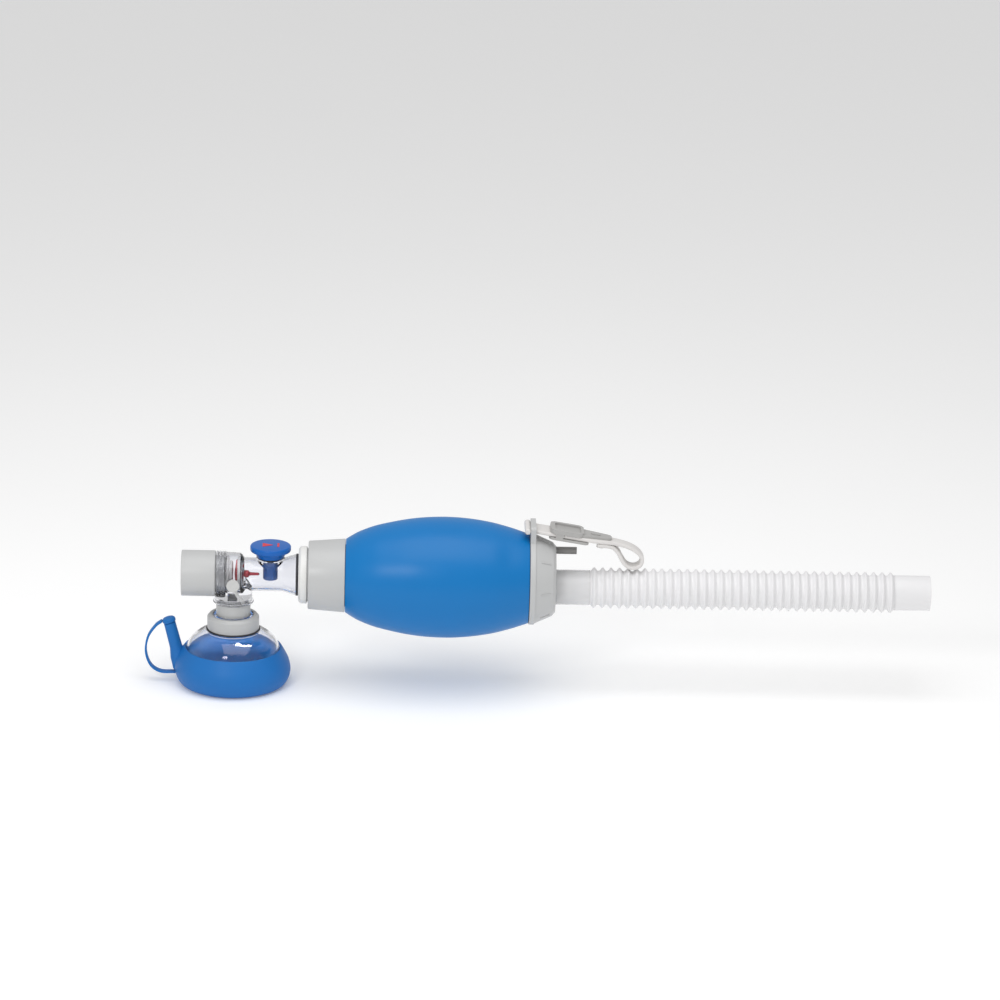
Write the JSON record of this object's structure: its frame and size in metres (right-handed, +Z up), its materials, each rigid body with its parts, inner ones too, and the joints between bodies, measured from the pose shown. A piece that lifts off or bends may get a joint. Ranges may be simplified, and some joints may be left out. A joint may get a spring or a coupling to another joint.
{
  "type": "bag valve mask",
  "caption": "Small silicone bag valve mask with clear patient valve, round air-cushion mask, pressure limiter knob, finger-loop strap and corrugated reservoir tube.",
  "frame": {"origin": "centre of the flat ring under the mask's cushion, on the surface that the mask stands on, on the patient connector's axis", "axes": "+Z up out of the mask; +X along the bag from the patient valve to the reservoir tube's open end"},
  "size_m": [0.5139, 0.079, 0.1145],
  "materials": {
    "clear_plastic": "clear polycarbonate",
    "light_grey_plastic": "fine satin",
    "dark_grey_plastic": "fine satin",
    "white_plastic": "satin",
    "bag_silicone": "satin blue silicone",
    "cushion_blue": "matt blue elastomer",
    "knob_blue": "satin",
    "red_silicone": "satin",
    "red_print": "satin",
    "black_rubber": "matt",
    "clear_silicone": "translucent",
    "tube_plastic": "translucent white",
    "strap_rubber": "matt light grey",
    "spring_steel": "drawn wire"
  },
  "bodies": {
    "valve": {"valve_housing": "clear_plastic", "valve_ring": "clear_plastic", "exhaust_seat": "white_plastic", "shutter_seat": "white_plastic", "port_tether": "white_plastic", "neck_seal": "black_rubber", "neck_ring": "white_plastic", "neck_collar": "light_grey_plastic", "neck_insert": "light_grey_plastic", "strap_ring": "light_grey_plastic", "inlet_collar": "light_grey_plastic", "inlet_insert": "light_grey_plastic", "inlet_seat": "white_plastic", "oxygen_nipple": "dark_grey_plastic", "limiter_spring": "spring_steel", "limiter_sleeve": "knob_blue"},
    "exhaust_cap": {"expiratory_cap": "light_grey_plastic"},
    "shutter": {"shutter_valve": "red_silicone"},
    "limiter": {"limiter_knob": "knob_blue", "limiter_seal": "black_rubber", "knob_pointer": "red_print"},
    "port_plug": {"port_cap": "white_plastic"},
    "connector": {"patient_connector": "light_grey_plastic", "swivel_ring": "clear_silicone", "swivel_seal": "black_rubber"},
    "mask": {"mask_dome": "clear_plastic", "mask_cushion": "cushion_blue", "mask_collar": "light_grey_plastic", "collar_gasket": "black_rubber", "inflation_stem": "cushion_blue", "plug_tether": "cushion_blue"},
    "air_plug": {"inflation_plug": "cushion_blue"},
    "bag": {"squeeze_bag": "bag_silicone"},
    "flap": {"inlet_flap": "clear_silicone"},
    "reservoir": {"tube_cuff_inlet": "tube_plastic", "reservoir_tube": "tube_plastic", "tube_cuff_open": "tube_plastic"},
    "strap": {"strap_band": "strap_rubber", "strap_stud": "strap_rubber"},
    "buckle": {"strap_buckle": "light_grey_plastic", "buckle_plate": "light_grey_plastic"}
  },
  "joints": [
    {"name": "exhaust_cap_turn", "type": "hinge", "parent": "valve", "child": "exhaust_cap", "pos_m": [-0.02, 0, 0.075], "axis": [-1, 0, 0], "range_deg": [0, 90]},
    {"name": "shutter_travel", "type": "slide", "parent": "valve", "child": "shutter", "axis": [-1, 0, 0], "range_m": [0, 0.0018], "stiffness_N_per_m": 30},
    {"name": "limiter_lift", "type": "slide", "parent": "valve", "child": "limiter", "axis": [0, 0, 1], "range_m": [0, 0.003], "stiffness_N_per_m": 400, "springref_m": -0.004, "deforming": ["limiter_spring"]},
    {"name": "port_cap_pull", "type": "slide", "parent": "valve", "child": "port_plug", "axis": [0, -1, 0], "range_m": [0, 0.006], "deforming": ["port_tether"]},
    {"name": "mask_swivel", "type": "hinge", "parent": "valve", "child": "connector", "pos_m": [0, 0, 0.055], "axis": [0, 0, 1], "continuous": true},
    {"name": "mask_pull_off", "type": "slide", "parent": "connector", "child": "mask", "axis": [0, 0, -1], "range_m": [0, 0.014]},
    {"name": "air_plug_pull", "type": "slide", "parent": "mask", "child": "air_plug", "axis": [-0.2519, 0, 0.9677], "range_m": [0, 0.008], "deforming": ["plug_tether"]},
    {"name": "bag_squeeze", "type": "slide", "parent": "valve", "child": "bag", "axis": [0, 0, -1], "range_m": [0, 0.014], "stiffness_N_per_m": 900, "springref_m": -0.004, "deforming": ["squeeze_bag"]},
    {"name": "inlet_flap_travel", "type": "slide", "parent": "valve", "child": "flap", "axis": [-1, 0, 0], "range_m": [0, 0.002], "stiffness_N_per_m": 20},
    {"name": "reservoir_pull_off", "type": "slide", "parent": "valve", "child": "reservoir", "axis": [1, 0, 0], "range_m": [0, 0.012]},
    {"name": "strap_swing", "type": "hinge", "parent": "valve", "child": "strap", "pos_m": [0.1909, 0, 0.1104], "axis": [0, -1, 0], "range_deg": [0, 17]},
    {"name": "buckle_slide", "type": "slide", "parent": "strap", "child": "buckle", "axis": [-0.9877, 0, 0.1564], "range_m": [0, 0.006]}
  ]
}
